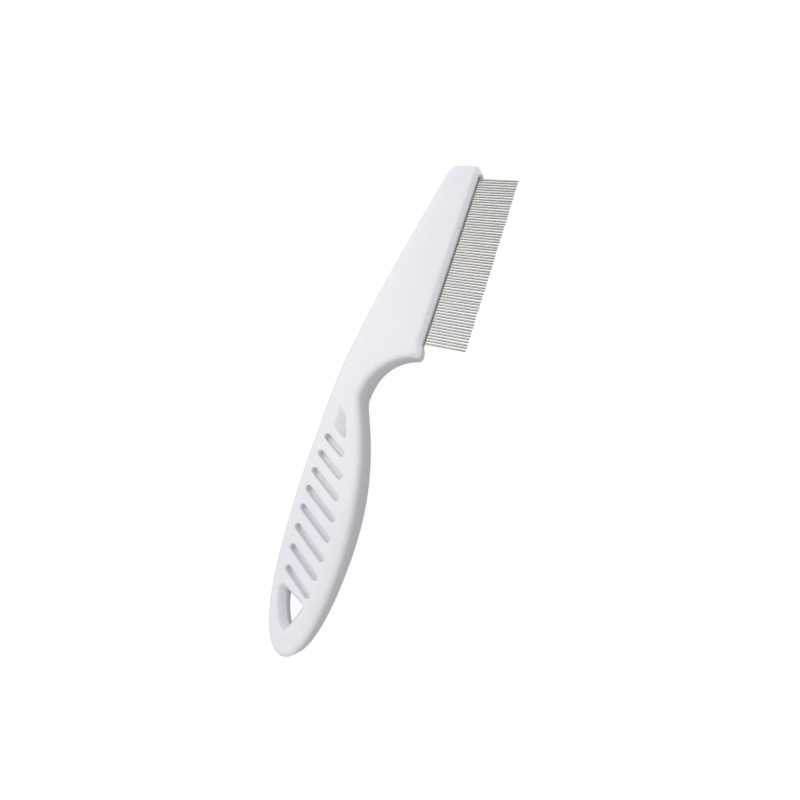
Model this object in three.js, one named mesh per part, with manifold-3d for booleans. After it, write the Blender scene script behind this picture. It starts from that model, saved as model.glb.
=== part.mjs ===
// A flea comb: a one-piece moulded plastic handle and a row of fine round steel teeth.
//
// The comb lies flat with the back of its grip on z = 0. X runs along the teeth towards their
// tips, Y along the handle towards the head, Z up. The shapes are drawn from the middle of the
// tooth row, near where the teeth leave the head. The finished comb is then moved along X and Y,
// so that its origin is under its middle.
//
// The teeth are hairpins: each wire is bent into a U with two legs. The legs pass through a
// drilled strip, and the strip sits in a groove along the edge of the head.

import * as THREE from 'three';
import { mergeVertices } from 'three/addons/utils/BufferGeometryUtils.js';
import Module from 'manifold-3d';

const wasm = await Module();
wasm.setup();

// ---------------------------------------------------------------- driving dimensions, mm

const TOOTH_COUNT = 64;
const TOOTH_PITCH = 1.0;
const TOOTH_DIAMETER = 0.55;
const TOOTH_ROOT = 1.2;            // x at which the teeth leave the head
const TOOTH_TIP = 15.1;            // x of the tips
const TOOTH_POINT = 0.35;          // length of the rounded end of a tooth
const TOOTH_SIDES = 6;

const GRIP_THICKNESS = 10.8;
const HEAD_THICKNESS = 5.8;
const TAIL_THICKNESS = 6.3;
const EDGE_ROUNDING = 1.8;

const HEAD_TOP = 35.3;             // y of the head's far end
const HEAD_FOOT = -33;             // y where the head starts to thicken into the neck
const NECK_FOOT = -54;             // y where the neck has the full thickness of the grip
const TAPER_START = -84;           // y where the grip starts to thin towards the tail
const TAIL_END = -130.2;

const NOSE_HALF = 1.6;             // half the thickness of the edge that the teeth leave
const NOSE_BEVEL = 1.65;           // width of the bevels that thin the head to that edge
const UPPER_EAR_TIP = 2.7;         // x of the ears that guard the ends of the tooth row
const LOWER_EAR_TIP = 2.2;

const SLOT_COUNT = 8;
const SLOT_WIDTH = 1.9;
const SLOT_TILT = THREE.MathUtils.degToRad(-29);
const SLOT_SPACING = 5.43;         // measured along y
const FIRST_SLOT_LEVEL = -78.6;    // y of the first slot's centre line at x = 0
const EYE_BEVEL = 1.4;             // width and depth of the bevel round the hanging eye
const SLOT_DEPTH = 2.1;            // below the face on each side
const SCOOP_DEPTH = 3.3;           // of the scoop above the slots, at its deepest corner

const STRIP_DEPTH = 4.0;
const STRIP_HEIGHT = 1.0;
const STRIP_RECESS = 0.1;          // the strip's face sits this far inside the head's edge
const STRIP_CLEARANCE = 0.12;
const BORE_CLEARANCE = 0.05;       // radial, between a tooth and its hole in the strip
const BEND_CLEARANCE = 0.3;        // behind the strip, and behind the bends

// ---------------------------------------------------------------- worked-out dimensions

const MIDPLANE = GRIP_THICKNESS / 2;
const TOOTH_RADIUS = TOOTH_DIAMETER / 2;
const WIRE_COUNT = TOOTH_COUNT / 2;
const ROW_HALF = (TOOTH_COUNT - 1) * TOOTH_PITCH / 2;
const STRIP_BACK = TOOTH_ROOT - STRIP_RECESS - STRIP_DEPTH;
const BEND_CENTRE = STRIP_BACK - BEND_CLEARANCE;
const GROOVE_BOTTOM = BEND_CENTRE - TOOTH_PITCH / 2 - TOOTH_RADIUS - BEND_CLEARANCE;

// ---------------------------------------------------------------- materials

function whitePlastic() {
  return new THREE.MeshStandardMaterial({ color: 0xebeaf0, roughness: 0.45, metalness: 0 });
}

function stripPlastic() {
  return new THREE.MeshStandardMaterial({ color: 0xdcdbe0, roughness: 0.55, metalness: 0 });
}

function stainlessWire() {
  return new THREE.MeshStandardMaterial({ color: 0xc5c3c2, roughness: 0.3, metalness: 1 });
}

// ---------------------------------------------------------------- solids

// Keeps only the positions of a closed geometry and merges the vertices that coincide.
function weld(geometry) {
  const bare = geometry.clone();
  bare.deleteAttribute('normal');
  bare.deleteAttribute('uv');
  return mergeVertices(bare, 1e-5);
}

function toSolid(geometry) {
  const welded = weld(geometry);
  return new wasm.Manifold(new wasm.Mesh({
    numProp: 3,
    vertProperties: new Float32Array(welded.attributes.position.array),
    triVerts: new Uint32Array(welded.index.array),
  }));
}

function toGeometry(solid) {
  const mesh = solid.getMesh();
  const geometry = new THREE.BufferGeometry();
  geometry.setAttribute('position', new THREE.BufferAttribute(mesh.vertProperties, 3));
  geometry.setIndex(new THREE.BufferAttribute(mesh.triVerts, 1));
  geometry.computeVertexNormals();
  return geometry;
}

// Splits every triangle that crosses the plane y = level, so that edges lie in that plane.
function splitAtLevel(geometry, level) {
  const tolerance = 1e-4;
  const points = [...geometry.attributes.position.array];
  const cutPoints = new Map();
  const yOf = (vertex) => points[vertex * 3 + 1];
  const cutEdge = (a, b) => {
    const key = a < b ? `${a}-${b}` : `${b}-${a}`;
    if (!cutPoints.has(key)) {
      const share = (level - yOf(a)) / (yOf(b) - yOf(a));
      cutPoints.set(key, points.length / 3);
      for (let axis = 0; axis < 3; axis += 1) {
        const from = points[a * 3 + axis];
        points.push(from + share * (points[b * 3 + axis] - from));
      }
    }
    return cutPoints.get(key);
  };
  const side = (vertex) => {
    const distance = yOf(vertex) - level;
    return Math.abs(distance) < tolerance ? 0 : Math.sign(distance);
  };
  const triangles = [];
  const corners = geometry.index.array;
  for (let first = 0; first < corners.length; first += 3) {
    const ring = [corners[first], corners[first + 1], corners[first + 2]];
    const halves = { above: [], below: [] };
    for (let k = 0; k < 3; k += 1) {
      const here = ring[k];
      const next = ring[(k + 1) % 3];
      if (side(here) >= 0) halves.above.push(here);
      if (side(here) <= 0) halves.below.push(here);
      if (side(here) * side(next) < 0) {
        const cut = cutEdge(here, next);
        halves.above.push(cut);
        halves.below.push(cut);
      }
    }
    const whole = ring.every((vertex) => side(vertex) >= 0) || ring.every((vertex) => side(vertex) <= 0);
    const faces = whole ? [ring] : [halves.above, halves.below];
    for (const face of faces) {
      for (let k = 2; k < face.length; k += 1) triangles.push(face[0], face[k - 1], face[k]);
    }
  }
  const split = new THREE.BufferGeometry();
  split.setAttribute('position', new THREE.Float32BufferAttribute(points, 3));
  split.setIndex(triangles);
  return split;
}

// ---------------------------------------------------------------- handle

// Thickness of the handle at a place along its length.
function thicknessAt(y) {
  if (y > NECK_FOOT) {
    const climb = THREE.MathUtils.smoothstep(-y, -HEAD_FOOT, -NECK_FOOT);
    return THREE.MathUtils.lerp(HEAD_THICKNESS, GRIP_THICKNESS, climb);
  }
  const taper = THREE.MathUtils.clamp((TAPER_START - y) / (TAPER_START - TAIL_END), 0, 1);
  return THREE.MathUtils.lerp(GRIP_THICKNESS, TAIL_THICKNESS, taper);
}

// The outline seen from above without the ears, anticlockwise from the foot of the head's edge.
function handleOutline() {
  const outline = new THREE.Shape();
  outline.moveTo(TOOTH_ROOT, -36.4);
  outline.lineTo(TOOTH_ROOT, HEAD_TOP - 1.6);
  // the end of the head
  outline.lineTo(0.3, HEAD_TOP);
  outline.lineTo(-8.1, HEAD_TOP);
  outline.lineTo(-10.0, HEAD_TOP - 2.6);
  // the spine, down to the tail
  outline.bezierCurveTo(-12.3, 20.5, -22.0, -26.0, -22.0, -42.0);
  outline.bezierCurveTo(-22.0, -60.0, -22.2, -84.0, -20.5, -102.0);
  outline.bezierCurveTo(-19.0, -119.0, -15.3, TAIL_END, -8.8, TAIL_END);
  // the belly of the grip, back up to the neck
  outline.bezierCurveTo(-2.4, TAIL_END, -0.1, -115.0, -0.1, -100.0);
  outline.bezierCurveTo(-0.1, -73.0, -11.8, -57.0, -11.8, -53.6);
  // the hollow under the head
  outline.bezierCurveTo(-11.8, -42.0, -3.2, -38.2, -0.2, -37.7);
  outline.closePath();
  return outline;
}

function handleBlank() {
  const neckSteps = 6;
  const blank = new THREE.ExtrudeGeometry(handleOutline(), {
    depth: GRIP_THICKNESS - 2 * EDGE_ROUNDING,
    bevelThickness: EDGE_ROUNDING,
    bevelSize: EDGE_ROUNDING,
    bevelOffset: -EDGE_ROUNDING,
    bevelSegments: 4,
    curveSegments: 16,
  });
  blank.translate(0, 0, EDGE_ROUNDING - MIDPLANE);
  let shaped = splitAtLevel(weld(blank), TAPER_START);
  for (let step = 0; step <= neckSteps; step += 1) {
    shaped = splitAtLevel(shaped, THREE.MathUtils.lerp(HEAD_FOOT, NECK_FOOT, step / neckSteps));
  }
  const position = shaped.attributes.position;
  for (let vertex = 0; vertex < position.count; vertex += 1) {
    const squeeze = thicknessAt(position.getY(vertex)) / GRIP_THICKNESS;
    position.setZ(vertex, MIDPLANE + position.getZ(vertex) * squeeze);
  }
  return toSolid(shaped);
}

// The x of the slots' inner limits: a slack curve along the spine and one along the belly.
function slotLimit(y, edge) {
  const curves = {
    spine: { x: -18.2, y: -77, bow: 0.0025 },
    belly: { x: -5.2, y: -102, bow: -0.0055 },
  };
  const curve = curves[edge];
  return curve.x + curve.bow * (y - curve.y) ** 2;
}

// Where a slot's centre line meets one of the two limits.
function slotEnd(level, edge) {
  let x = -12;
  for (let round = 0; round < 30; round += 1) {
    x = slotLimit(level + x * Math.tan(SLOT_TILT), edge);
  }
  return new THREE.Vector2(x, level + x * Math.tan(SLOT_TILT));
}

function prism(shape, curveSegments) {
  const overrun = 1;
  const geometry = new THREE.ExtrudeGeometry(shape, {
    depth: GRIP_THICKNESS + 2 * overrun,
    bevelEnabled: false,
    curveSegments,
  });
  geometry.translate(0, 0, -overrun);
  return geometry;
}

// Moves the lower end of a prism to the floor height at each place.
function withFloor(geometry, floorAt) {
  const position = geometry.attributes.position;
  for (let vertex = 0; vertex < position.count; vertex += 1) {
    if (position.getZ(vertex) < MIDPLANE) {
      position.setZ(vertex, floorAt(position.getX(vertex), position.getY(vertex)));
    }
  }
  return geometry;
}

// A cutter for the front face together with its mirror image for the back.
function onBothFaces(geometry) {
  const front = toSolid(geometry);
  return front.add(front.mirror([0, 0, 1]).translate([0, 0, GRIP_THICKNESS]));
}

// A blind, flat-bottomed slot in each face.
function slotCutter(index) {
  const level = FIRST_SLOT_LEVEL - index * SLOT_SPACING;
  const from = slotEnd(level, 'spine');
  const to = slotEnd(level, 'belly');
  const radius = SLOT_WIDTH / 2;
  const half = from.distanceTo(to) / 2 - radius;
  const shape = new THREE.Shape();
  shape.absarc(half, 0, radius, -Math.PI / 2, Math.PI / 2, false);
  shape.absarc(-half, 0, radius, Math.PI / 2, 3 * Math.PI / 2, false);
  const geometry = prism(shape, 4);
  geometry.rotateZ(SLOT_TILT);
  geometry.translate((from.x + to.x) / 2, (from.y + to.y) / 2, 0);
  return onBothFaces(withFloor(geometry, (x, y) => MIDPLANE + thicknessAt(y) / 2 - SLOT_DEPTH));
}

// The three-cornered eye near the tail that the comb hangs by, with a bevelled mouth in each face.
function hangingEyeCutter() {
  const overrun = 0.2;
  const reach = EYE_BEVEL + overrun;
  const shape = new THREE.Shape();
  shape.moveTo(-14.1, -114.2);
  shape.lineTo(-8.15, -116.28);
  shape.quadraticCurveTo(-7.76, -116.42, -7.9, -116.8);
  shape.lineTo(-10.1, -122.4);
  shape.quadraticCurveTo(-10.25, -122.8, -10.5, -122.5);
  shape.quadraticCurveTo(-13.0, -119.7, -14.45, -114.5);
  shape.quadraticCurveTo(-14.5, -114.05, -14.1, -114.2);
  const geometry = new THREE.ExtrudeGeometry(shape, {
    depth: GRIP_THICKNESS - 2 * EYE_BEVEL,
    bevelThickness: reach,
    bevelSize: -reach,
    bevelOffset: reach,
    bevelSegments: 1,
    curveSegments: 4,
  });
  geometry.translate(0, 0, EYE_BEVEL - MIDPLANE);
  const position = geometry.attributes.position;
  for (let vertex = 0; vertex < position.count; vertex += 1) {
    const height = position.getZ(vertex);
    const sunk = (GRIP_THICKNESS - thicknessAt(position.getY(vertex))) / 2;
    position.setZ(vertex, MIDPLANE + Math.sign(height) * (Math.abs(height) - sunk));
  }
  return toSolid(geometry);
}

// A scoop above the first slot in each face. Its flat floor sinks from the spine's side to the toe.
function scoopCutter() {
  const rise = 0.05;
  const run = 4.9;
  const toe = new THREE.Vector2(-11.4, -68.0);
  const heel = new THREE.Vector2(toe.x - run, toe.y - run * Math.tan(SLOT_TILT));
  const crest = new THREE.Vector2(-16.8, -58.6);
  const shoulder = new THREE.Vector2(-14.0, -61.4);
  const hinge = crest.clone().sub(heel).normalize();
  const distance = (x, y) => (x - heel.x) * hinge.y - (y - heel.y) * hinge.x;
  const floorAt = (x, y) => {
    const share = distance(x, y) / distance(toe.x, toe.y);
    return GRIP_THICKNESS + rise - (SCOOP_DEPTH + rise) * share;
  };
  return onBothFaces(withFloor(prism(new THREE.Shape([crest, heel, toe, shoulder]), 1), floorAt));
}

function box(minimum, maximum) {
  const size = maximum.clone().sub(minimum);
  const centre = maximum.clone().add(minimum).multiplyScalar(0.5);
  return new THREE.BoxGeometry(size.x, size.y, size.z).translate(centre.x, centre.y, centre.z);
}

// A bar along Y whose free edge, at x = tip, is thinned by a bevel on each face.
function bevelledBar(tip, from, to) {
  const back = -3;
  const half = HEAD_THICKNESS / 2;
  const section = new THREE.Shape([
    new THREE.Vector2(back, -half),
    new THREE.Vector2(tip - NOSE_BEVEL, -half),
    new THREE.Vector2(tip, -NOSE_HALF),
    new THREE.Vector2(tip, NOSE_HALF),
    new THREE.Vector2(tip - NOSE_BEVEL, half),
    new THREE.Vector2(back, half),
  ]);
  const geometry = new THREE.ExtrudeGeometry(section, { depth: to - from, bevelEnabled: false });
  geometry.rotateX(Math.PI / 2);
  geometry.translate(0, to, MIDPLANE);
  return toSolid(geometry);
}

// What the two bevels take away from the head's edge.
function noseCutter() {
  const overrun = 1;
  const [from, to] = [-37, HEAD_TOP + overrun];
  const around = toSolid(box(
    new THREE.Vector3(TOOTH_ROOT - NOSE_BEVEL, from, MIDPLANE - HEAD_THICKNESS),
    new THREE.Vector3(TOOTH_ROOT + overrun, to, MIDPLANE + HEAD_THICKNESS),
  ));
  return around.subtract(bevelledBar(TOOTH_ROOT, from - overrun, to + overrun));
}

function ear(tip, corners) {
  const plan = new THREE.Shape(corners.map(([x, y]) => new THREE.Vector2(x, y)));
  const levels = corners.map(([, y]) => y);
  return bevelledBar(tip, Math.min(...levels), Math.max(...levels)).intersect(toSolid(prism(plan, 1)));
}

function upperEar() {
  return ear(UPPER_EAR_TIP, [
    [-1.0, 32.2], [UPPER_EAR_TIP - 0.3, 32.2], [UPPER_EAR_TIP, 32.5], [0.3, HEAD_TOP], [-1.0, HEAD_TOP],
  ]);
}

function lowerEar() {
  return ear(LOWER_EAR_TIP, [
    [-1.0, -37.7], [-0.2, -37.7], [1.4, -37.6], [LOWER_EAR_TIP, -36.6], [LOWER_EAR_TIP - 0.1, -34.6],
    [TOOTH_ROOT, -32.5], [-1.0, -32.5],
  ]);
}

function grooveCutter() {
  const overrun = 1;
  const halfHeight = STRIP_HEIGHT / 2 + STRIP_CLEARANCE;
  const halfLength = ROW_HALF + TOOTH_PITCH / 2 + STRIP_CLEARANCE;
  return toSolid(box(
    new THREE.Vector3(GROOVE_BOTTOM, -halfLength, MIDPLANE - halfHeight),
    new THREE.Vector3(TOOTH_ROOT + overrun, halfLength, MIDPLANE + halfHeight),
  ));
}

function buildHandle() {
  let handle = handleBlank();
  for (let index = 0; index < SLOT_COUNT; index += 1) handle = handle.subtract(slotCutter(index));
  handle = handle.subtract(hangingEyeCutter());
  handle = handle.subtract(scoopCutter());
  handle = handle.subtract(noseCutter()).add(upperEar()).add(lowerEar());
  handle = handle.subtract(grooveCutter());
  const mesh = new THREE.Mesh(toGeometry(handle), whitePlastic());
  mesh.name = 'handle';
  return mesh;
}

// ---------------------------------------------------------------- drilled strip

function toothLevel(index) {
  return index * TOOTH_PITCH - ROW_HALF;
}

function buildStrip() {
  const halfLength = ROW_HALF + TOOTH_PITCH / 2;
  const face = new THREE.Shape([
    new THREE.Vector2(-halfLength, -STRIP_HEIGHT / 2),
    new THREE.Vector2(halfLength, -STRIP_HEIGHT / 2),
    new THREE.Vector2(halfLength, STRIP_HEIGHT / 2),
    new THREE.Vector2(-halfLength, STRIP_HEIGHT / 2),
  ]);
  for (let tooth = 0; tooth < TOOTH_COUNT; tooth += 1) {
    const bore = [];
    for (let corner = 0; corner < TOOTH_SIDES; corner += 1) {
      const angle = -2 * Math.PI * corner / TOOTH_SIDES;
      const radius = TOOTH_RADIUS + BORE_CLEARANCE;
      bore.push(new THREE.Vector2(
        toothLevel(tooth) + radius * Math.cos(angle),
        radius * Math.sin(angle),
      ));
    }
    face.holes.push(new THREE.Path(bore));
  }
  const geometry = new THREE.ExtrudeGeometry(face, { depth: STRIP_DEPTH, bevelEnabled: false });
  const mesh = new THREE.Mesh(geometry, stripPlastic());
  // the face is drawn in Y and Z and extruded along X
  mesh.rotation.set(Math.PI / 2, Math.PI / 2, 0);
  mesh.position.set(STRIP_BACK, 0, MIDPLANE);
  mesh.name = 'tooth_strip';
  return mesh;
}

// ---------------------------------------------------------------- hairpin teeth

// A closed round-ended rod swept along flat stations of centre, heading and radius.
function sweptRod(stations) {
  const points = [];
  for (const station of stations) {
    for (let corner = 0; corner < TOOTH_SIDES; corner += 1) {
      const angle = 2 * Math.PI * corner / TOOTH_SIDES;
      const across = station.radius * Math.cos(angle);
      points.push(
        station.x - across * Math.sin(station.heading),
        station.y + across * Math.cos(station.heading),
        station.radius * Math.sin(angle),
      );
    }
  }
  const faces = [];
  for (let ring = 1; ring < stations.length; ring += 1) {
    for (let corner = 0; corner < TOOTH_SIDES; corner += 1) {
      const next = (corner + 1) % TOOTH_SIDES;
      const low = (ring - 1) * TOOTH_SIDES;
      const high = ring * TOOTH_SIDES;
      faces.push(low + corner, low + next, high + next, low + corner, high + next, high + corner);
    }
  }
  const last = (stations.length - 1) * TOOTH_SIDES;
  for (let corner = 2; corner < TOOTH_SIDES; corner += 1) {
    faces.push(0, corner, corner - 1, last, last + corner - 1, last + corner);
  }
  const rod = new THREE.BufferGeometry();
  rod.setAttribute('position', new THREE.Float32BufferAttribute(points, 3));
  rod.setIndex(faces);
  rod.computeVertexNormals();
  return rod;
}

// One wire with two legs: out along the lower leg's axis, round the bend, back out again.
function hairpinGeometry() {
  const bendSteps = 5;
  const bendRadius = TOOTH_PITCH / 2;
  const shoulder = TOOTH_TIP - TOOTH_POINT;
  const tipRadius = TOOTH_RADIUS * 0.45;
  const stations = [
    { x: TOOTH_TIP, y: bendRadius, heading: Math.PI, radius: tipRadius },
    { x: shoulder, y: bendRadius, heading: Math.PI, radius: TOOTH_RADIUS },
  ];
  for (let step = 0; step <= bendSteps; step += 1) {
    const turn = Math.PI * step / bendSteps;
    stations.push({
      x: BEND_CENTRE - bendRadius * Math.sin(turn),
      y: bendRadius * Math.cos(turn),
      heading: Math.PI + turn,
      radius: TOOTH_RADIUS,
    });
  }
  stations.push({ x: shoulder, y: -bendRadius, heading: 0, radius: TOOTH_RADIUS });
  stations.push({ x: TOOTH_TIP, y: -bendRadius, heading: 0, radius: tipRadius });
  return sweptRod(stations);
}

function buildTeeth() {
  const teeth = new THREE.Group();
  for (let wire = 0; wire < WIRE_COUNT; wire += 1) {
    const mesh = new THREE.Mesh(hairpinGeometry(), stainlessWire());
    mesh.position.set(0, toothLevel(2 * wire) + TOOTH_PITCH / 2, MIDPLANE);
    mesh.name = `tooth_wire_${String(wire + 1).padStart(2, '0')}`;
    teeth.add(mesh);
  }
  return teeth;
}

function buildComb() {
  const comb = new THREE.Group();
  comb.add(buildHandle(), buildStrip(), buildTeeth());
  const middle = new THREE.Box3().setFromObject(comb).getCenter(new THREE.Vector3());
  comb.position.set(-middle.x, -middle.y, 0);
  return comb;
}

export default buildComb();
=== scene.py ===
"""The finished look of a flea comb: a white moulded handle and a row of fine steel teeth.

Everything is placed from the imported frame, in which the comb lies flat: X runs along the teeth
towards their tips, Y along the handle towards the head, Z up. Shapes are worked out in
millimetres and become metres when a mesh is made.
"""

import math
import random

import bmesh
import bpy
import numpy as np
from mathutils import Matrix, Vector
from mathutils.bvhtree import BVHTree
from mathutils.geometry import delaunay_2d_cdt


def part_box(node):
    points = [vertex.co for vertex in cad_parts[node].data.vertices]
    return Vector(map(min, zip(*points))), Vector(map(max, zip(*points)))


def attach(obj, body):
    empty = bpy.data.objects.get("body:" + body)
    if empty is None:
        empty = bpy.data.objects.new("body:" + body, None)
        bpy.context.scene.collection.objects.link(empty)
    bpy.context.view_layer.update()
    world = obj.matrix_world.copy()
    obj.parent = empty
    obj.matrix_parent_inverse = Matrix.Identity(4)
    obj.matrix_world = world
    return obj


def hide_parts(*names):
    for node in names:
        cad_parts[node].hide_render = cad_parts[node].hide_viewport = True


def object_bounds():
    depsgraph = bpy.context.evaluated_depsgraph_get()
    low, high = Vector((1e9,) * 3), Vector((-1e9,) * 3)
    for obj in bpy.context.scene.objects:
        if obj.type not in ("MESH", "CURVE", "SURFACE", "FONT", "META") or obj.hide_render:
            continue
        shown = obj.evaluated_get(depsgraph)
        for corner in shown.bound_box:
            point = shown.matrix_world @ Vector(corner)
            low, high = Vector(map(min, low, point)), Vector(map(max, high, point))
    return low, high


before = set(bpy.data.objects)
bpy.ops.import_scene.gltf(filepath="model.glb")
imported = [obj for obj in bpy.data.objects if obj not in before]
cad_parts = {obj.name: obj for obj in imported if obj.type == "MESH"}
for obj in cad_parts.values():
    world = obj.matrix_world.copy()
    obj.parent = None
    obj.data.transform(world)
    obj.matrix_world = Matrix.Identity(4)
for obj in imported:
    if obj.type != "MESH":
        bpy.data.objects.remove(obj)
CAD_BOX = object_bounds()

MM = 0.001

# ---------------------------------------------------------------- driving values, mm

EDGE_ROUNDING = 1.8             # width and height of the rounding along the grip's outer edge
CROWN_DROP = 0.35               # how far the faces fall away towards the outer edge
CROWN_WIDTH = 6.5
MOUTH_ROUNDING = 0.22           # rounding of the slots' mouths
SLOT_FILLET = 0.2               # rounding along the foot of a slot's walls
CORNER_LENGTH = 0.45            # outline taken up by a rounded corner, on each side of it
CORNER_TURN = math.radians(20)  # an outline that turns more than this at a point has a corner
STRAIGHT_TURN = math.radians(0.1)
PARTING_RIDGE = 0.04            # the mould's parting line stands this far out of the walls
PARTING_WIDTH = 0.2

EDGE_STEP = 0.4                 # spacing of mesh points along the outer edge
MOUTH_STEP = 0.35               # along the slots and the eye
FACE_STEP = 1.0                 # across the faces
SCOOP_STEP = 0.2                # in the scoop at the neck
SCOOP_SOFTNESS = 0.45           # radius over which the scoop's walls are softened
FACE_MARGIN = 0.3               # between the rounded edge and the points laid across a face
SHALLOWEST_SCOOP = 0.15         # a face sunk by less than this is not part of the scoop

NOSE_BEVEL_WIDTH = 1.65         # of the bevels that thin the head to the edge the teeth leave
NOSE_BEVEL_DROP = 1.3
EYE_BEVEL = 1.4                 # width and depth of the bevel round the hanging eye
BEVEL_FOOT_ROUNDING = 0.15
SECTION_LEVEL = 0.8             # above the mid-plane, under the slots' floors
TAPER_LENGTH = 34.0             # from the eye up to where the grip is thickest
SLOT_SECTION_DEPTH = 1.2        # below the face, above the slots' floors
GROOVE_CLEARANCE = 0.12         # between the strip and the groove that holds it
LIP_CHAMFER = 0.08

WIRE_RADIUS = 0.275
WIRE_SIDES = 14
LEG_STATIONS = 9                # rings along a straight leg
BEND_STATIONS = 8
TIP_STATIONS = 6
TIP_LENGTH = 0.4                # of the rounded end of a tooth
TIP_SCATTER = 0.18              # how unevenly the teeth end
SWAY = 0.07                     # how far a tip strays sideways

BORE_RADIUS = 0.31
BORE_SIDES = 16
STRIP_BEVEL = 0.1

MOULDING_CREASE = 38            # degrees between faces at which shading stays sharp
STRIP_CREASE = 40
WIRE_CREASE = 60

# ---------------------------------------------------------------- colours and light

HANDLE_LIGHT = (0.83, 0.825, 0.865, 1)
HANDLE_SHADE = (0.79, 0.785, 0.835, 1)
HANDLE_ROUGHNESS = 0.46
STRIP_LIGHT = (0.74, 0.73, 0.76, 1)
STRIP_SHADE = (0.68, 0.67, 0.7, 1)
STRIP_ROUGHNESS = 0.55
SPECK_GREY = (0.62, 0.6, 0.62, 1)
WORN_WHITE = (0.9, 0.9, 0.91, 1)
PLASTIC_IOR = 1.47
LIGHT_REACH = 0.003             # metres that light travels inside the plastic

STEEL_WARM = (0.46, 0.43, 0.4, 1)
STEEL_COOL = (0.43, 0.43, 0.44, 1)
STEEL_STAIN = (0.28, 0.26, 0.24, 1)

FLOOR_SEEN = 0.93               # brightness of the floor and the sky, for the camera
SKY_SEEN = 1.0
FLOOR_GLOW = 0.22               # and for the comb's surfaces
SKY_GLOW = 0.74
FLOOR_PAINT = (0.12, 0.12, 0.12, 1)
FLOOR_REACH = 2500              # mm from the comb to the floor's sides
SOFTBOX_PLACE = (-0.4, 0.25, 0.75)  # metres
SOFTBOX_SIZE = 0.5
SOFTBOX_ENERGY = 2.5            # watts

# ---------------------------------------------------------------- camera, mm

CAMERA_DISTANCE = 134.05
CAMERA_AIM = (3.0, -3.91)       # from the middle of the comb, on its mid-plane
CAMERA_AZIMUTH = math.radians(60.7)
CAMERA_ELEVATION = math.radians(65.73)
CAMERA_ROLL = math.radians(-44.3)
CAMERA_LENS = 19.43
CAMERA_SENSOR = 36.0


# ---------------------------------------------------------------- closed loops in the plane

def signed_area(loop):
    following = np.roll(loop, -1, axis=0)
    return 0.5 * np.sum(loop[:, 0] * following[:, 1] - following[:, 0] * loop[:, 1])


def turns(loop):
    """The angle through which a loop turns at each point."""
    ahead = np.roll(loop, -1, axis=0) - loop
    behind = loop - np.roll(loop, 1, axis=0)
    cross = behind[:, 0] * ahead[:, 1] - behind[:, 1] * ahead[:, 0]
    return np.arctan2(cross, np.sum(ahead * behind, axis=1))


def left_normals(loop):
    """Unit vectors to the left of a loop's direction at each point."""
    along = np.roll(loop, -1, axis=0) - np.roll(loop, 1, axis=0)
    along /= np.linalg.norm(along, axis=1)[:, None]
    return np.stack([-along[:, 1], along[:, 0]], axis=1)


def sides(loop):
    return list(zip(loop, np.roll(loop, -1, axis=0)))


def distance_to(loop, points, closed=True):
    """Distance from each point to the nearest place on a loop, or on an open stretch of one."""
    best = np.full(len(points), np.inf)
    for start, end in sides(loop) if closed else sides(loop)[:-1]:
        side = end - start
        share = np.clip((points - start) @ side / (side @ side), 0, 1)
        gap = points - start - share[:, None] * side
        best = np.minimum(best, np.hypot(gap[:, 0], gap[:, 1]))
    return best


def is_inside(loop, points):
    inside = np.zeros(len(points), bool)
    for start, end in sides(loop):
        if start[1] == end[1]:
            continue
        crosses = (start[1] > points[:, 1]) != (end[1] > points[:, 1])
        x = start[0] + (points[:, 1] - start[1]) * (end[0] - start[0]) / (end[1] - start[1])
        inside ^= crosses & (points[:, 0] < x)
    return inside


def stretch_where(loop, wanted):
    """The one unbroken run of a loop's points that are wanted."""
    first = np.flatnonzero(wanted & ~np.roll(wanted, 1))[0]
    return np.roll(loop, -first, axis=0)[:wanted.sum()]


def distances_along(stretch):
    return np.concatenate([[0.0], np.cumsum(np.linalg.norm(np.diff(stretch, axis=0), axis=1))])


def points_at(stretch, places):
    """Points at given distances along an open stretch."""
    along = distances_along(stretch)
    return np.stack([np.interp(places, along, stretch[:, axis]) for axis in (0, 1)], axis=1)


def resampled(loop, step):
    closed = np.vstack([loop, loop[:1]])
    length = distances_along(closed)[-1]
    count = round(length / step)
    return points_at(closed, np.arange(count) * length / count)


def catmull_rom(points, steps):
    """A smooth open curve through the points (centripetal), with equal steps between each pair."""
    guide = np.vstack([2 * points[0] - points[1], points, 2 * points[-1] - points[-2]])
    gaps = np.sqrt(np.linalg.norm(np.diff(guide, axis=0), axis=1))[:, None]
    slopes = np.diff(guide, axis=0) / gaps
    spans = (guide[2:] - guide[:-2]) / (gaps[1:] + gaps[:-1])
    tangents = slopes[:-1] - spans + slopes[1:]
    t = (np.arange(steps) / steps)[:, None]
    curve = []
    for k in range(len(points) - 1):
        curve.append(
            (2 * t**3 - 3 * t**2 + 1) * points[k]
            + (t**3 - 2 * t**2 + t) * tangents[k] * gaps[k + 1]
            + (3 * t**2 - 2 * t**3) * points[k + 1]
            + (t**3 - t**2) * tangents[k + 1] * gaps[k + 1]
        )
    return np.vstack(curve + [points[-1:]])


def trimmed(stretch):
    """An open stretch of outline, shortened at both ends to leave room for rounded corners."""
    largest_share = 0.42
    along = distances_along(stretch)
    cut = min(CORNER_LENGTH, largest_share * along[-1])
    kept = along[(along > cut) & (along < along[-1] - cut)]
    return points_at(stretch, np.concatenate([[cut], kept, [along[-1] - cut]]))


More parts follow.
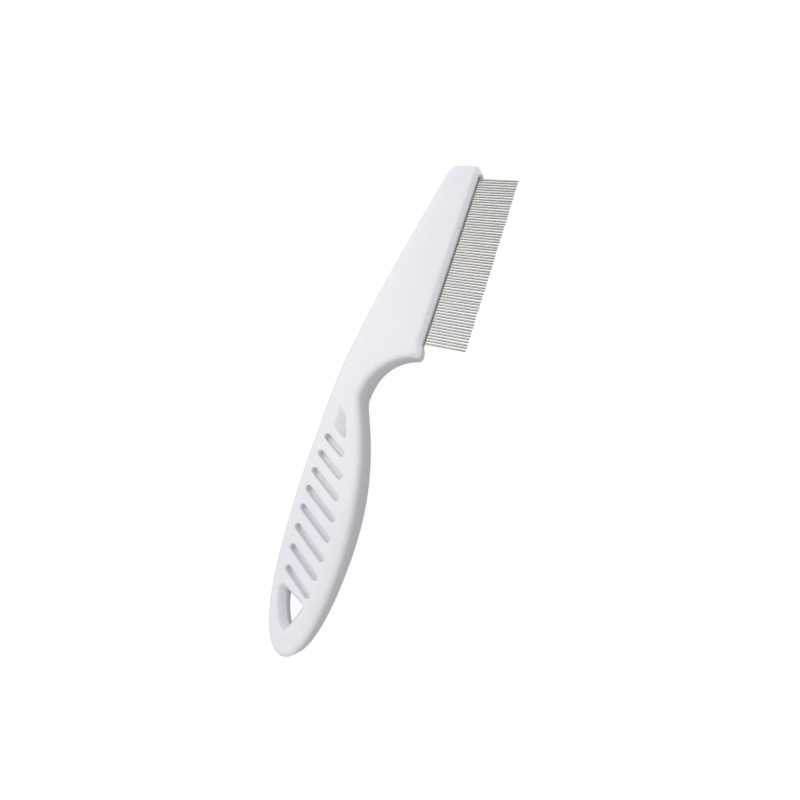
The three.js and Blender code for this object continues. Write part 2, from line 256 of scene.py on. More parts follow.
def smoothed(loop):
    """A faceted loop drawn again as smooth curves between its corners, with rounded corners."""
    curve_steps = 12
    corner_steps = 6
    loop = loop[np.abs(turns(loop)) > STRAIGHT_TURN]
    corners = np.flatnonzero(np.abs(turns(loop)) > CORNER_TURN)
    if len(corners) == 0:
        ring = np.vstack([loop[-1:], loop, loop[:2]])
        return catmull_rom(ring, curve_steps)[curve_steps:-curve_steps - 1]
    stretches = []
    for corner, following in zip(corners, np.roll(corners, -1)):
        count = (following - corner) % len(loop) or len(loop)
        picked = loop[(corner + np.arange(count + 1)) % len(loop)]
        stretches.append(catmull_rom(picked, curve_steps) if count > 1 else picked)
    share = np.linspace(0, 1, corner_steps + 1)[:, None]
    pieces = []
    for stretch, following in zip(stretches, stretches[1:] + stretches[:1]):
        before, after = trimmed(stretch), trimmed(following)
        bend = (1 - share)**2 * before[-1] + share**2 * after[0]
        bend += 2 * share * (1 - share) * stretch[-1]
        pieces += [before[1:], bend[1:]]
    return np.vstack(pieces)


def capsule(loop):
    """A true round-ended slot with the place, length, width and lean of a faceted one."""
    fine_step = 0.1
    cap_points = 13
    fine = resampled(loop, fine_step)
    middle = fine.mean(0)
    _, axes = np.linalg.eigh(np.cov((fine - middle).T))
    across, along = axes[:, 0], axes[:, 1]
    reach = np.abs((loop - middle) @ along).max()
    radius = np.abs((loop - middle) @ across).max()
    angles = np.linspace(-math.pi / 2, math.pi / 2, cap_points)
    cap = np.stack([np.cos(angles), np.sin(angles)], axis=1) * radius + [reach - radius, 0]
    drawn = middle + np.vstack([cap, -cap]) @ np.stack([along, across])
    return drawn if signed_area(drawn) > 0 else drawn[::-1]


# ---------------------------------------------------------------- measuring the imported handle

def section_loops(node, place, normal):
    """The loops in which a CAD node meets a plane, seen from above, in mm, anticlockwise."""
    merge_distance = 0.001
    work = bmesh.new()
    work.from_mesh(node.data)
    bmesh.ops.remove_doubles(work, verts=work.verts, dist=MM * merge_distance)
    cut = bmesh.ops.bisect_plane(
        work, geom=work.verts[:] + work.edges[:] + work.faces[:],
        plane_co=[c * MM for c in place], plane_no=normal,
    )["geom_cut"]
    # a dict keeps the edges in order, so that a loop starts at the same place in every run
    edges = dict.fromkeys(item for item in cut if isinstance(item, bmesh.types.BMEdge))
    loops = []
    while edges:
        here, last = edges.popitem()[0].verts
        chain = [here]
        while here is not last:
            step = next(edge for edge in here.link_edges if edge in edges)
            del edges[step]
            here = step.other_vert(here)
            chain.append(here)
        loop = np.array([vert.co[:2] for vert in chain]) / MM
        loops.append(loop if signed_area(loop) > 0 else loop[::-1])
    work.free()
    return loops


class Handle:
    """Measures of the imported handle, in mm: its outline, its openings and its surface heights."""

    def __init__(self, node):
        low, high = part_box(node.name)
        self.midplane = (low.z + high.z) / 2 / MM
        self.half_grip = (high.z - low.z) / 2 / MM
        self.tree = BVHTree.FromPolygons(
            [vert.co for vert in node.data.vertices],
            [face.vertices[:] for face in node.data.polygons],
        )
        level = (0, 0, self.midplane + SECTION_LEVEL)
        eye, edge = sorted(section_loops(node, level, (0, 0, 1)), key=signed_area)
        edge = resampled(smoothed(edge), EDGE_STEP)
        self.edge = edge + left_normals(edge) * PARTING_RIDGE
        self.stations, self.halves = self.measure_thickness()
        drawn = [capsule(loop) for loop in self.slot_sections(node, eye)] + [smoothed(eye)]
        *self.slots, self.eye = (resampled(loop, MOUTH_STEP)[::-1] for loop in drawn)
        self.openings = self.slots + [self.eye]
        self.scoop = self.scoop_box()
        centres = [loop.mean(0) for loop in self.slots]
        self.slot_depth = np.mean([self.half_thickness(y) - self.hit(x, y) for x, y in centres])
        strip_low, strip_high = (np.array(corner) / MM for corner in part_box("tooth_strip"))
        self.nose = self.side_hit((strip_low[1] + strip_high[1]) / 2, SECTION_LEVEL)
        ear_length = 6.3
        ear_depth = 0.7
        beside_teeth = self.edge[:, 0] > self.nose - ear_depth
        above_neck = self.edge[:, 1] > strip_low[1] - ear_length
        self.nose_edge = stretch_where(self.edge, beside_teeth & above_neck)

    def hit(self, x, y):
        """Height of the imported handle's upper surface above the mid-plane, or None beside it."""
        place = self.tree.ray_cast(Vector((x * MM, y * MM, 1)), Vector((0, 0, -1)))[0]
        return None if place is None else place.z / MM - self.midplane

    def side_hit(self, y, level):
        """The x at which a ray from the teeth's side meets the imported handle."""
        start = Vector((1, y * MM, (self.midplane + level) * MM))
        return self.tree.ray_cast(start, Vector((-1, 0, 0)))[0].x / MM

    def measure_thickness(self):
        """Half the handle's thickness at stations along it, evened out over a few of them."""
        end_margin = 3.0
        station_count = 100
        probe_count = 60
        spread = 5
        low, high = self.edge.min(0), self.edge.max(0)
        stations = np.linspace(low[1] + end_margin, high[1] - end_margin, station_count)
        across = np.linspace(low[0], high[0], probe_count)
        halves = []
        for y in stations:
            hits = [self.hit(x, y) for x in across]
            halves.append(max(hit for hit in hits if hit is not None))
        padded = np.pad(halves, spread // 2, mode="edge")
        return stations, np.convolve(padded, np.ones(spread) / spread, mode="valid")

    def half_thickness(self, y):
        return np.interp(y, self.stations, self.halves)

    def slot_sections(self, node, eye):
        """Outlines of the slots, cut by a plane that follows the thinning of the grip."""
        low_y = eye[:, 1].mean()
        low_half, high_half = (self.half_thickness(y) for y in (low_y, low_y + TAPER_LENGTH))
        normal = (0, (low_half - high_half) / TAPER_LENGTH, 1)
        place = (0, low_y, self.midplane + low_half - SLOT_SECTION_DEPTH)
        *openings, _ = sorted(section_loops(node, place, normal), key=signed_area)
        _, *slots, _ = sorted(openings, key=lambda loop: loop[:, 1].mean())
        return slots

    def sink(self, points):
        """Depth of the scoop at each point, softened at its walls by rings of probes."""
        ring_count = 3
        offsets = [(0.0, 0.0)]
        for ring in range(1, ring_count + 1):
            radius = SCOOP_SOFTNESS * ring / ring_count
            angles = np.arange(6 * ring) * math.pi / (3 * ring)
            offsets += [(radius * math.cos(angle), radius * math.sin(angle)) for angle in angles]
        depths = np.zeros(len(points))
        for k, point in enumerate(points):
            probes = [(self.hit(x, y), self.half_thickness(y)) for x, y in point + offsets]
            depths[k] = np.mean([half - hit for hit, half in probes if hit is not None])
        return np.clip(depths, 0, None)

    def scoop_box(self):
        """Lowest and highest corner of the part of the face that the scoop takes up."""
        head_length = 70
        mouth_margin = 0.5
        box_margin = 1.0
        grid = lattice(self.edge, FACE_STEP / 2)
        clear = distance_to(self.edge, grid) > EDGE_ROUNDING + FACE_MARGIN
        for loop in self.openings:
            clear &= (distance_to(loop, grid) > mouth_margin) & ~is_inside(loop, grid)
        grid = grid[clear & is_inside(self.edge, grid)]
        grid = grid[grid[:, 1] < self.edge[:, 1].max() - head_length]
        gaps = np.array([self.half_thickness(y) - self.hit(x, y) for x, y in grid])
        sunk = grid[gaps > SHALLOWEST_SCOOP]
        return sunk.min(0) - box_margin, sunk.max(0) + box_margin


def lattice(loop, step):
    """Staggered rows of points over a loop's box."""
    low, high = loop.min(0), loop.max(0)
    rows = np.arange(low[1], high[1], step * math.sqrt(3) / 2)
    columns = np.arange(low[0], high[0], step)
    return np.array([(x + (k % 2) * step / 2, y) for k, y in enumerate(rows) for x in columns])


# ---------------------------------------------------------------- handle mesh

def rounding_stations(size, count):
    """Distances from an edge at which a rounding of that size turns by equal steps."""
    return [size * (1 - math.cos(k * math.pi / 2 / count)) for k in range(1, count + 1)]


def rounding_drop(distance, width, height):
    reach = np.clip(1 - distance / width, 0, 1)
    return height * (1 - np.sqrt(1 - reach**2))


def bevel_drop(distance, width, drop):
    """Fall of the face over a bevel, softened at its top and rounded at its foot."""
    softness = 0.15
    rise = 1 - distance / width
    bevel = drop * (rise + np.sqrt(rise**2 + softness**2)) / 2
    return bevel + rounding_drop(distance, BEVEL_FOOT_ROUNDING, BEVEL_FOOT_ROUNDING)


def face_points(handle):
    """Points to mesh a face with: the loops first, then rings beside them, then a lattice."""
    slack = 0.02
    spacing = 0.12
    edge_distances = rounding_stations(EDGE_ROUNDING, 6) + [2.05, 2.3, 2.6, 3.3, 4.3]
    slot_distances = rounding_stations(MOUTH_ROUNDING, 4)
    eye_distances = [0.04, 0.15, 0.5, 0.9, 1.2, EYE_BEVEL, 1.6, 1.85]
    rings = []
    for distance in edge_distances:
        ring = handle.edge + left_normals(handle.edge) * distance
        true = np.abs(distance_to(handle.edge, ring) - distance) < slack + slack * distance
        rings.append(ring[true & is_inside(handle.edge, ring)])
    mouths = [(loop, slot_distances) for loop in handle.slots] + [(handle.eye, eye_distances)]
    mouth_rings = []
    for loop, distances in mouths:
        mouth_rings += [loop + left_normals(loop) * distance for distance in distances]
    low, high = handle.scoop
    grid = lattice(handle.edge, FACE_STEP)
    fine = lattice(np.array([low, high]), SCOOP_STEP)
    in_scoop = np.all((grid > low) & (grid < high), axis=1)
    grid = np.vstack([grid[~in_scoop], fine])
    grid = grid[is_inside(handle.edge, grid)]
    grid = grid[distance_to(handle.edge, grid) > EDGE_ROUNDING + FACE_MARGIN]
    free = np.vstack(rings + [grid])
    for loop, distances in mouths:
        clear = distance_to(loop, free) > distances[-1] + spacing
        free = free[clear & ~is_inside(loop, free)]
    return np.vstack([handle.edge] + handle.openings + mouth_rings + [free])


def triangulated(handle, points):
    """Points and anticlockwise triangles of the face, and the loops as lists of point numbers."""
    tolerance = 1e-5
    loops, first = [], 0
    for loop in [handle.edge] + handle.openings:
        loops.append(np.arange(first, first + len(loop)))
        first += len(loop)
    borders = [(int(a), int(b)) for loop in loops for a, b in zip(loop, np.roll(loop, -1))]
    verts, _, faces, sources, _, _ = delaunay_2d_cdt(
        [Vector(point) for point in points], borders, [], 0, tolerance, True
    )
    found = {source: k for k, group in enumerate(sources) for source in group}
    loops = [[found[int(k)] for k in loop] for loop in loops]
    verts = np.array([vert[:] for vert in verts])
    faces = np.array(faces)
    centres = verts[faces].mean(1)
    kept = is_inside(handle.edge, centres)
    for loop in handle.openings:
        kept &= ~is_inside(loop, centres)
    # a sliver on a border is judged by the border's direction: the plastic is on its left
    borders = {side for loop in loops for side in zip(loop, loop[1:] + loop[:1])}
    for index, (a, b, c) in enumerate(faces.tolist()):
        if borders & {(b, a), (c, b), (a, c)}:
            kept[index] = False
        elif borders & {(a, b), (b, c), (c, a)}:
            kept[index] = True
    return verts, faces[kept], loops


def face_heights(handle, points):
    """Height of the faces off the mid-plane. The back mirrors the front."""
    mouth_margin = SCOOP_SOFTNESS + 0.1
    edge_distance = distance_to(handle.edge, points)
    half = handle.half_thickness(points[:, 1])
    rounding_height = EDGE_ROUNDING * half / handle.half_grip
    crown = np.clip(1 - edge_distance / CROWN_WIDTH, 0, 1)**2 * CROWN_DROP * half / handle.half_grip
    fall = rounding_drop(edge_distance, EDGE_ROUNDING, rounding_height)
    nose_distance = distance_to(handle.nose_edge, points, closed=False)
    fall = np.maximum(fall, bevel_drop(nose_distance, NOSE_BEVEL_WIDTH, NOSE_BEVEL_DROP))
    fall += bevel_drop(distance_to(handle.eye, points), EYE_BEVEL, EYE_BEVEL)
    height = half - crown - fall
    low, high = handle.scoop
    near = np.all((points > low) & (points < high), axis=1) & (edge_distance > EDGE_ROUNDING)
    for loop in handle.slots:
        mouth_distance = distance_to(loop, points)
        height -= rounding_drop(mouth_distance, MOUTH_ROUNDING, MOUTH_ROUNDING)
        near &= mouth_distance > mouth_margin
    height[near] -= handle.sink(points[near])
    return height


def through_wall(loop, points, heights, midplane, ridge):
    """Rows of places down the wall along a loop, from the front face to the back."""
    half_line = PARTING_WIDTH / 2
    places, height = points[loop], heights[loop]
    on_ridge = places - left_normals(places) * ridge
    levels = [height * 2 / 3, height / 3, half_line, 0.0, -half_line, -height / 3, -height * 2 / 3]
    rows = []
    for k, level in enumerate(levels):
        plan = on_ridge if k == len(levels) // 2 else places
        rows.append(np.column_stack([plan, np.full(len(plan), midplane) + level]))
    return rows


def slot_rows(handle, loop, points, heights):
    """Rows of places down a slot's wall, round the fillet at its foot and in over its floor."""
    floor_reach = 0.8  # of the slot's half width, from its wall to the last row
    places, height = points[loop], heights[loop]
    inward = -left_normals(places)
    radius = distance_to(places, places.mean(0)[None])[0]
    floor = handle.half_thickness(places[:, 1]) - handle.slot_depth
    rows = [(0.0, (height + floor) / 2)]
    for angle in np.radians([0, 30, 60, 90]):
        rise = SLOT_FILLET * (1 - math.sin(angle))
        rows.append((SLOT_FILLET * (1 - math.cos(angle)), floor + rise))
    rows.append((radius * floor_reach, floor))
    return [np.column_stack([places + inward * reach, level]) for reach, level in rows]


def bridge(rows, polygons, turned):
    """Adds the polygons between rows of point numbers, facing the other way if turned."""
    for upper, lower in zip(rows, rows[1:]):
        for k in range(len(upper)):
            j = (k + 1) % len(upper)
            polygon = (upper[j], upper[k], lower[k], lower[j])
            polygons.append(polygon[::-1] if turned else polygon)


def numbered(rows, blocks):
    """Adds rows of places to the blocks of a mesh and returns their point numbers."""
    numbers = []
    for row in rows:
        first = sum(len(block) for block in blocks)
        numbers.append(list(range(first, first + len(row))))
        blocks.append(row)
    return numbers


def handle_shell(handle):
    """Vertices and faces of the closed handle, before the groove is cut, in mm."""
    points, faces, loops = triangulated(handle, face_points(handle))
    heights = face_heights(handle, points)
    count, midplane = len(points), handle.midplane
    blocks = [np.column_stack([points, midplane + side * heights]) for side in (1, -1)]
    polygons = [tuple(face) for face in faces] + [tuple(face[::-1] + count) for face in faces]
    edge, *slots, eye = loops
    for loop, ridge in ((edge, PARTING_RIDGE), (eye, 0.0)):
        inner = numbered(through_wall(loop, points, heights, midplane, ridge), blocks)
        bridge([loop] + inner + [[index + count for index in loop]], polygons, False)
    for loop in slots:
        rows = slot_rows(handle, loop, points, heights)
        for side in (1, -1):
            inner = numbered([row * (1, 1, side) + (0, 0, midplane) for row in rows], blocks)
            start = [index + (count if side < 0 else 0) for index in loop]
            bridge([start] + inner, polygons, side < 0)
            polygons.append(tuple(inner[-1][::-side]))
    return np.vstack(blocks).tolist(), polygons


def new_object(name, verts, faces, sharp_angle=MOULDING_CREASE):
    """An object whose mesh is made from places in mm, shaded smooth up to a sharp angle."""
    mesh = bpy.data.meshes.new(name)
    mesh.from_pydata([tuple(c * MM for c in vert) for vert in verts], [], faces)
    mesh.update()
    made = bpy.data.objects.new(name, mesh)
    bpy.context.scene.collection.objects.link(made)
    finish_shading(mesh, sharp_angle)
    return made


def finish_shading(mesh, sharp_angle):
    mesh.shade_smooth()
    mesh.set_sharp_from_angle(angle=math.radians(sharp_angle))


def box_loft(rectangles):
    """A closed solid through rectangles of (x, half length in y, half height in z)."""
    verts, faces = [], []
    for x, half_y, half_z in rectangles:
        for y, z in ((-half_y, -half_z), (half_y, -half_z), (half_y, half_z), (-half_y, half_z)):
            verts.append((x, y, z))
    for ring in range(len(rectangles) - 1):
        for k in range(4):
            j = (k + 1) % 4
            faces.append((4 * ring + k, 4 * ring + j, 4 * ring + 4 + j, 4 * ring + 4 + k))
    last = 4 * len(rectangles) - 4
    faces += [(3, 2, 1, 0), (last, last + 1, last + 2, last + 3)]
    return verts, faces


def groove_cutter(handle):
    """The solid that leaves the strip's groove, with chamfered lips, when it is taken away."""
    low, high = (np.array(corner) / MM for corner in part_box("tooth_strip"))
    middle = (low + high) / 2
    half_y, half_z = (high - low)[1:] / 2 + GROOVE_CLEARANCE
    bottom = handle.side_hit(middle[1], 0)
    flare = LIP_CHAMFER + PARTING_RIDGE
    verts, faces = box_loft([
        (bottom, half_y, half_z),
        (handle.nose - flare, half_y, half_z),
        (handle.nose + flare, half_y + 2 * flare, half_z + 2 * flare),
    ])
    verts = [(x, y + middle[1], z + middle[2]) for x, y, z in verts]
    return new_object("groove_cutter", verts, faces)


def build_handle():
    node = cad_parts["handle"]
    handle = Handle(node)
    verts, polygons = handle_shell(handle)
    moulding = new_object("handle_moulding", verts, polygons)
    cutter = groove_cutter(handle)
    cut = moulding.modifiers.new("groove", "BOOLEAN")
    cut.operation = "DIFFERENCE"
    cut.solver = "EXACT"
    cut.object = cutter
    scene_state = bpy.context.evaluated_depsgraph_get()
    mesh = bpy.data.meshes.new_from_object(moulding.evaluated_get(scene_state))
    moulding.modifiers.clear()
    moulding.data = mesh
    finish_shading(mesh, MOULDING_CREASE)
    bpy.data.objects.remove(cutter)
    moulding.data.materials.clear()
    moulding.data.materials.append(white_plastic())
    return dress(moulding, "handle")


def dress(piece, node):
    """Lets a piece stand for a CAD node, on the one body."""
    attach(piece, "root")
    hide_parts(node)
    return piece


# ---------------------------------------------------------------- teeth

def leg_stations(x_from, x_to, y, z, sway):
    """Centres along a leg, which strays a little more the nearer it is to its tip."""
    centres = []
    for share in np.linspace(0, 1, LEG_STATIONS):
        x = x_from + (x_to - x_from) * share
        stray = share**2
        centres.append(Vector((x, y + sway[0] * stray, z + sway[1] * stray)))
    return centres


def hairpin_centres(low, high, dice):
    """Centre line of one wire: in along one leg, round the bend, and out along the other."""
    reach = (high[1] - low[1]) / 2 - WIRE_RADIUS
    y, z = (low[1] + high[1]) / 2, (low[2] + high[2]) / 2
    bend_x = low[0] + WIRE_RADIUS + reach
    tips = [high[0] - dice.uniform(0, TIP_SCATTER) for _ in range(2)]
    sways = [(dice.uniform(-SWAY, SWAY), dice.uniform(-SWAY, SWAY)) for _ in range(2)]
    upper = leg_stations(bend_x, tips[0], y + reach, z, sways[0])
    lower = leg_stations(bend_x, tips[1], y - reach, z, sways[1])
    bend = []
    for turn in np.linspace(0, math.pi, BEND_STATIONS + 2)[1:-1]:
        bend.append(Vector((bend_x - reach * math.sin(turn), y + reach * math.cos(turn), z)))
    return upper[::-1] + bend + lower


def with_round_tips(centres):
    """Pairs of centre and radius: the centres, with both ends rounded off over the tip length."""
    smallest = 0.02
    first_turn = 0.35
    stations = [(centre, WIRE_RADIUS) for centre in centres[1:-1]]
    for end, inner, front in ((centres[0], centres[1], True), (centres[-1], centres[-2], False)):
        back = (inner - end).normalized()
        tip = [(end + back * TIP_LENGTH, WIRE_RADIUS)]
        for k in range(TIP_STATIONS):
            angle = math.pi / 2 * (k + first_turn) / (TIP_STATIONS - 1 + first_turn)
            centre = end + back * TIP_LENGTH * (1 - math.sin(angle))
            tip.append((centre, max(WIRE_RADIUS * math.cos(angle), smallest)))
        stations = tip[::-1] + stations if front else stations + tip
    return stations


def swept_wire(stations):
    """A closed round rod along stations of centre and radius that lie nearly level."""
    verts, faces = [], []
    for k, (centre, radius) in enumerate(stations):
        before = stations[max(k - 1, 0)][0]
        after = stations[min(k + 1, len(stations) - 1)][0]
        along = (after - before).normalized()
        across = Vector((0, 0, 1)).cross(along).normalized()
        rise = along.cross(across)
        for side in range(WIRE_SIDES):
            angle = 2 * math.pi * side / WIRE_SIDES
            verts.append(centre + radius * (math.cos(angle) * across + math.sin(angle) * rise))
    for ring in range(len(stations) - 1):
        for side in range(WIRE_SIDES):
            a, b = ring * WIRE_SIDES + side, ring * WIRE_SIDES + (side + 1) % WIRE_SIDES
            faces.append((a, b, b + WIRE_SIDES, a + WIRE_SIDES))
    last = (len(stations) - 1) * WIRE_SIDES
    faces.append(tuple(reversed(range(WIRE_SIDES))))
    faces.append(tuple(last + side for side in range(WIRE_SIDES)))
    return verts, faces


def build_teeth():
    dice = random.Random(11)
    steel = stainless_wire()
    names = sorted(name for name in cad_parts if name.startswith("tooth_wire_"))
    for name in names:
        low, high = (np.array(corner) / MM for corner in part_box(name))
        verts, faces = swept_wire(with_round_tips(hairpin_centres(low, high, dice)))
        wire = new_object(name.replace("tooth_wire", "hairpin_tooth"), verts, faces, WIRE_CREASE)
        wire.data.materials.append(steel)
        dress(wire, name)
    return names


# ---------------------------------------------------------------- drilled strip

def bore_directions():
    angles = [2 * math.pi * k / BORE_SIDES for k in range(BORE_SIDES)]
    return [(math.cos(angle), math.sin(angle)) for angle in angles]


def cell_corners(half_width, half_height):
    """Places round one tooth's share of the strip's face, at equal angles seen from its bore."""
    places = []
    for along, up in bore_directions():
        reach = 1 / max(abs(along) / half_width, abs(up) / half_height)
        places.append((reach * along, reach * up))
    return places


def ring_places(x, y, z, places):
    return [(x, y + along, z + up) for along, up in places]


def strip_part(y, low, high, half_width):
    """Vertices and faces of the length of strip round one bore, open where its neighbours join."""
    tolerance = 1e-6
    outer_rings = (1, 2, 3)
    middle, half_height = (low[2] + high[2]) / 2, (high[2] - low[2]) / 2
    flat_height = half_height - STRIP_BEVEL
    full = cell_corners(half_width, half_height)
    flat = [(along, math.copysign(min(abs(up), flat_height), up)) for along, up in full]
    bore = [(BORE_RADIUS * along, BORE_RADIUS * up) for along, up in bore_directions()]
    front, back = high[0], low[0]
    outlines = [
        (front, bore), (front, flat), (front - STRIP_BEVEL, full),
        (back + STRIP_BEVEL, full), (back, flat), (back, bore),
    ]
    rings = [ring_places(x, y, middle, outline) for x, outline in outlines]
    verts = [place for ring in rings for place in ring]
    faces = []
    for ring in range(len(rings)):
        following = (ring + 1) % len(rings)
        for k in range(BORE_SIDES):
            j = (k + 1) % BORE_SIDES
            at_side = abs(abs(full[k][0]) - half_width) < tolerance
            on_joint = at_side and abs(full[k][0] - full[j][0]) < tolerance
            if on_joint and ring in outer_rings:
                continue
            a, b = ring * BORE_SIDES, following * BORE_SIDES
            faces.append((a + k, b + k, b + j, a + j))
    return verts, faces


def build_strip(tooth_names):
    low, high = (np.array(corner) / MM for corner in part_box("tooth_strip"))
    bores = 2 * len(tooth_names)
    half_width = (high[1] - low[1]) / bores / 2
    verts, faces = [], []
    for k in range(bores):
        y = low[1] + half_width * (2 * k + 1)
        part_verts, part_faces = strip_part(y, low, high, half_width)
        faces += [tuple(index + len(verts) for index in face) for face in part_faces]
        verts += part_verts
    strip = new_object("tooth_strip_moulding", verts, faces, STRIP_CREASE)
    close_ends(strip)
    strip.data.materials.append(strip_plastic())
    return dress(strip, "tooth_strip")


def close_ends(strip):
    """Merges a strip's cells, caps its two ends and turns every face outwards."""
    merge_distance = 0.005
    work = bmesh.new()
    work.from_mesh(strip.data)
    bmesh.ops.remove_doubles(work, verts=work.verts, dist=MM * merge_distance)
    bmesh.ops.holes_fill(work, edges=[edge for edge in work.edges if edge.is_boundary])
    bmesh.ops.recalc_face_normals(work, faces=work.faces)
    work.to_mesh(strip.data)
    work.free()
    finish_shading(strip.data, STRIP_CREASE)


# ---------------------------------------------------------------- materials

def add(tree, kind, inputs=None, **settings):
    """Adds a shader node. An input may be a number, a colour or another node's output."""
    node = tree.nodes.new("ShaderNode" + kind)
    for name, value in settings.items():
        setattr(node, name, value)
    for name, value in (inputs or {}).items():
        if isinstance(value, bpy.types.NodeSocket):
            tree.links.new(value, node.inputs[name])
        else:
            node.inputs[name].default_value = value
    return node


def new_tree(name):
    material = bpy.data.materials.new(name)
    material.use_nodes = True
    material.node_tree.nodes.clear()
    return material, material.node_tree


def noise(tree, place, scale, detail=2.0, stretch=(1, 1, 1)):
    """Noise whose features are about 1/scale metres wide, divided by the stretch on each axis."""
    turned = add(tree, "Mapping", {"Vector": place, "Scale": stretch}).outputs[0]
    return add(tree, "TexNoise", {"Vector": turned, "Scale": scale, "Detail": detail}).outputs[0]


def ranged(tree, value, low, high, start=0.3, end=0.7):
    limits = {"Value": value, "From Min": start, "From Max": end, "To Min": low, "To Max": high}
    return add(tree, "MapRange", limits).outputs[0]


def mixed(tree, share, first, second):
    return add(tree, "MixRGB", {"Fac": share, "Color1": first, "Color2": second}).outputs[0]


def combined(tree, operation, first, second):
    return add(tree, "Math", {0: first, 1: second}, operation=operation).outputs[0]


def bumped(tree, height, strength, distance, normal=None):
    """A normal tilted by a height that ranges over a distance in metres."""
    inputs = {"Height": height, "Strength": strength, "Distance": distance}
    if normal:
        inputs["Normal"] = normal
    return add(tree, "Bump", inputs).outputs[0]


def moulded_plastic(name, light, shade, roughness, translucency):
    """Matt moulded plastic: flow marks, a fine spark-eroded grain, and edges polished by use."""
    material, tree = new_tree(name)
    place = add(tree, "TexCoord").outputs["Object"]
    flow = noise(tree, place, 70, 3.0, (1, 0.25, 1))
    speck = noise(tree, place, 1800, 2.0)
    grain = noise(tree, place, 4200, 3.0)
    waves = noise(tree, place, 150, 1.0, (1, 0.5, 1))
    scuffs = noise(tree, place, 260, 4.0, (1, 0.12, 1))
    worn = ranged(tree, add(tree, "NewGeometry").outputs["Pointiness"], 0, 1, 0.52, 0.62)
    colour = mixed(tree, ranged(tree, flow, 0, 1), light, shade)
    colour = mixed(tree, ranged(tree, speck, 0, 0.05), colour, SPECK_GREY)
    colour = mixed(tree, ranged(tree, worn, 0, 0.35, 0, 1), colour, WORN_WHITE)
    rough = ranged(tree, grain, roughness - 0.05, roughness + 0.06)
    rough = combined(tree, "ADD", rough, ranged(tree, scuffs, 0, 0.1, 0.55, 0.8))
    rough = combined(tree, "SUBTRACT", rough, ranged(tree, worn, 0, 0.12, 0, 1))
    swell = bumped(tree, waves, 0.35, 0.00012)
    surface = add(tree, "BsdfPrincipled", {
        "Base Color": colour,
        "Roughness": rough,
        "IOR": PLASTIC_IOR,
        "Subsurface Weight": translucency,
        "Subsurface Radius": (1.0, 0.95, 1.0),
        "Subsurface Scale": LIGHT_REACH,
        "Normal": bumped(tree, grain, 0.3, 0.00002, swell),
    }).outputs[0]
    add(tree, "OutputMaterial", {"Surface": surface})
    return material


def white_plastic():
    return moulded_plastic("white_plastic", HANDLE_LIGHT, HANDLE_SHADE, HANDLE_ROUGHNESS, 0.5)


def strip_plastic():
    return moulded_plastic("strip_plastic", STRIP_LIGHT, STRIP_SHADE, STRIP_ROUGHNESS, 0.05)


def stainless_wire():
    """Drawn stainless steel: die lines along the wire and a faint change of tint between wires."""
    material, tree = new_tree("stainless_wire")
    place = add(tree, "TexCoord").outputs["Object"]
    lines = noise(tree, place, 5200, 2.0, (0.03, 1, 1))
    stains = noise(tree, place, 420, 3.0)
    chance = add(tree, "ObjectInfo").outputs["Random"]
    colour = mixed(tree, chance, STEEL_WARM, STEEL_COOL)
    colour = mixed(tree, ranged(tree, stains, 0, 0.35), colour, STEEL_STAIN)
    surface = add(tree, "BsdfPrincipled", {
        "Base Color": colour,
        "Metallic": 1.0,
        "Roughness": ranged(tree, lines, 0.2, 0.38),
        "Normal": bumped(tree, lines, 0.25, 0.00001),
    }).outputs[0]
    add(tree, "OutputMaterial", {"Surface": surface})
    return material


# ---------------------------------------------------------------- studio

def build_floor():
    """A pale floor that the camera sees as almost white and that lights the comb only dimly."""
    ways = [(-1, -1), (1, -1), (1, 1), (-1, 1)]
    corners = [(x * FLOOR_REACH, y * FLOOR_REACH, 0) for x, y in ways]
    floor = new_object("floor", corners, [(0, 1, 2, 3)])
    floor.location.z = CAD_BOX[0][2]
    material, tree = new_tree("pale_floor")
    seen = add(tree, "LightPath").outputs["Is Camera Ray"]
    strength = ranged(tree, seen, FLOOR_GLOW, FLOOR_SEEN, 0, 1)
    glow = add(tree, "Emission", {"Color": (1, 1, 1, 1), "Strength": strength}).outputs[0]
    paint = add(tree, "BsdfDiffuse", {"Color": FLOOR_PAINT}).outputs[0]
    surface = add(tree, "AddShader", {0: glow, 1: paint}).outputs[0]
    add(tree, "OutputMaterial", {"Surface": surface})
    floor.data.materials.append(material)


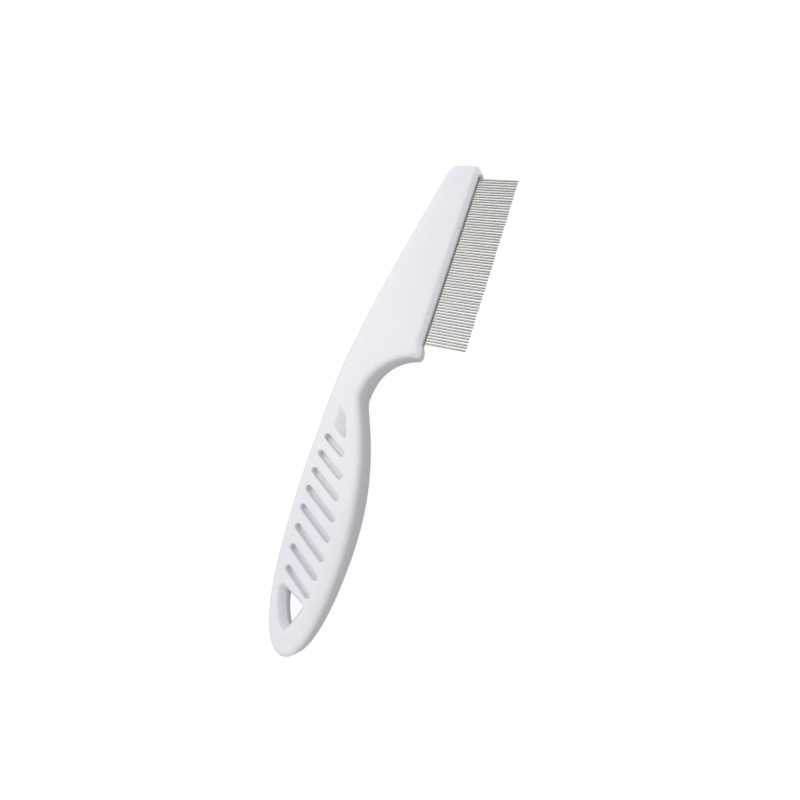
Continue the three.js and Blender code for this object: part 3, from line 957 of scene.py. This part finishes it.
def build_sky():
    """White behind the comb for the camera, and a dimmer soft light all round for its surfaces."""
    world = bpy.data.worlds.new("studio")
    world.use_nodes = True
    tree = world.node_tree
    tree.nodes.clear()
    seen = add(tree, "LightPath").outputs["Is Camera Ray"]
    strength = ranged(tree, seen, SKY_GLOW, SKY_SEEN, 0, 1)
    light = add(tree, "Background", {"Color": (1, 1, 1, 1), "Strength": strength}).outputs[0]
    add(tree, "OutputWorld", {"Surface": light})
    bpy.context.scene.world = world


def add_softbox(name, place, size, energy):
    """A square area light at a place in metres, aimed at the middle of the comb."""
    light = bpy.data.lights.new(name, "AREA")
    light.size = size
    light.energy = energy
    softbox = bpy.data.objects.new(name, light)
    softbox.location = place
    softbox.rotation_euler = (-Vector(place)).to_track_quat("-Z", "Y").to_euler()
    bpy.context.scene.collection.objects.link(softbox)


def build_camera():
    low, high = CAD_BOX
    middle = (Vector(low) + Vector(high)) / 2
    aim = middle + Vector((CAMERA_AIM[0] * MM, CAMERA_AIM[1] * MM, 0))
    level = Vector((math.sin(CAMERA_AZIMUTH), -math.cos(CAMERA_AZIMUTH), 0))
    towards = level * math.cos(CAMERA_ELEVATION) + Vector((0, 0, math.sin(CAMERA_ELEVATION)))
    flat_right = Vector((math.cos(CAMERA_AZIMUTH), math.sin(CAMERA_AZIMUTH), 0))
    flat_up = towards.cross(flat_right)
    right = flat_right * math.cos(CAMERA_ROLL) + flat_up * math.sin(CAMERA_ROLL)
    turn = Matrix((right, towards.cross(right), towards)).transposed()
    lens = bpy.data.cameras.new("camera")
    lens.lens = CAMERA_LENS
    lens.sensor_width = CAMERA_SENSOR
    lens.clip_start = 0.005
    camera = bpy.data.objects.new("camera", lens)
    camera.matrix_world = Matrix.Translation(aim + towards * CAMERA_DISTANCE * MM) @ turn.to_4x4()
    bpy.context.scene.collection.objects.link(camera)
    bpy.context.scene.camera = camera


def build_studio():
    bpy.context.scene.view_settings.view_transform = "Standard"
    build_floor()
    build_sky()
    add_softbox("upper_left", SOFTBOX_PLACE, SOFTBOX_SIZE, SOFTBOX_ENERGY)
    build_camera()


build_handle()
build_strip(build_teeth())
build_studio()
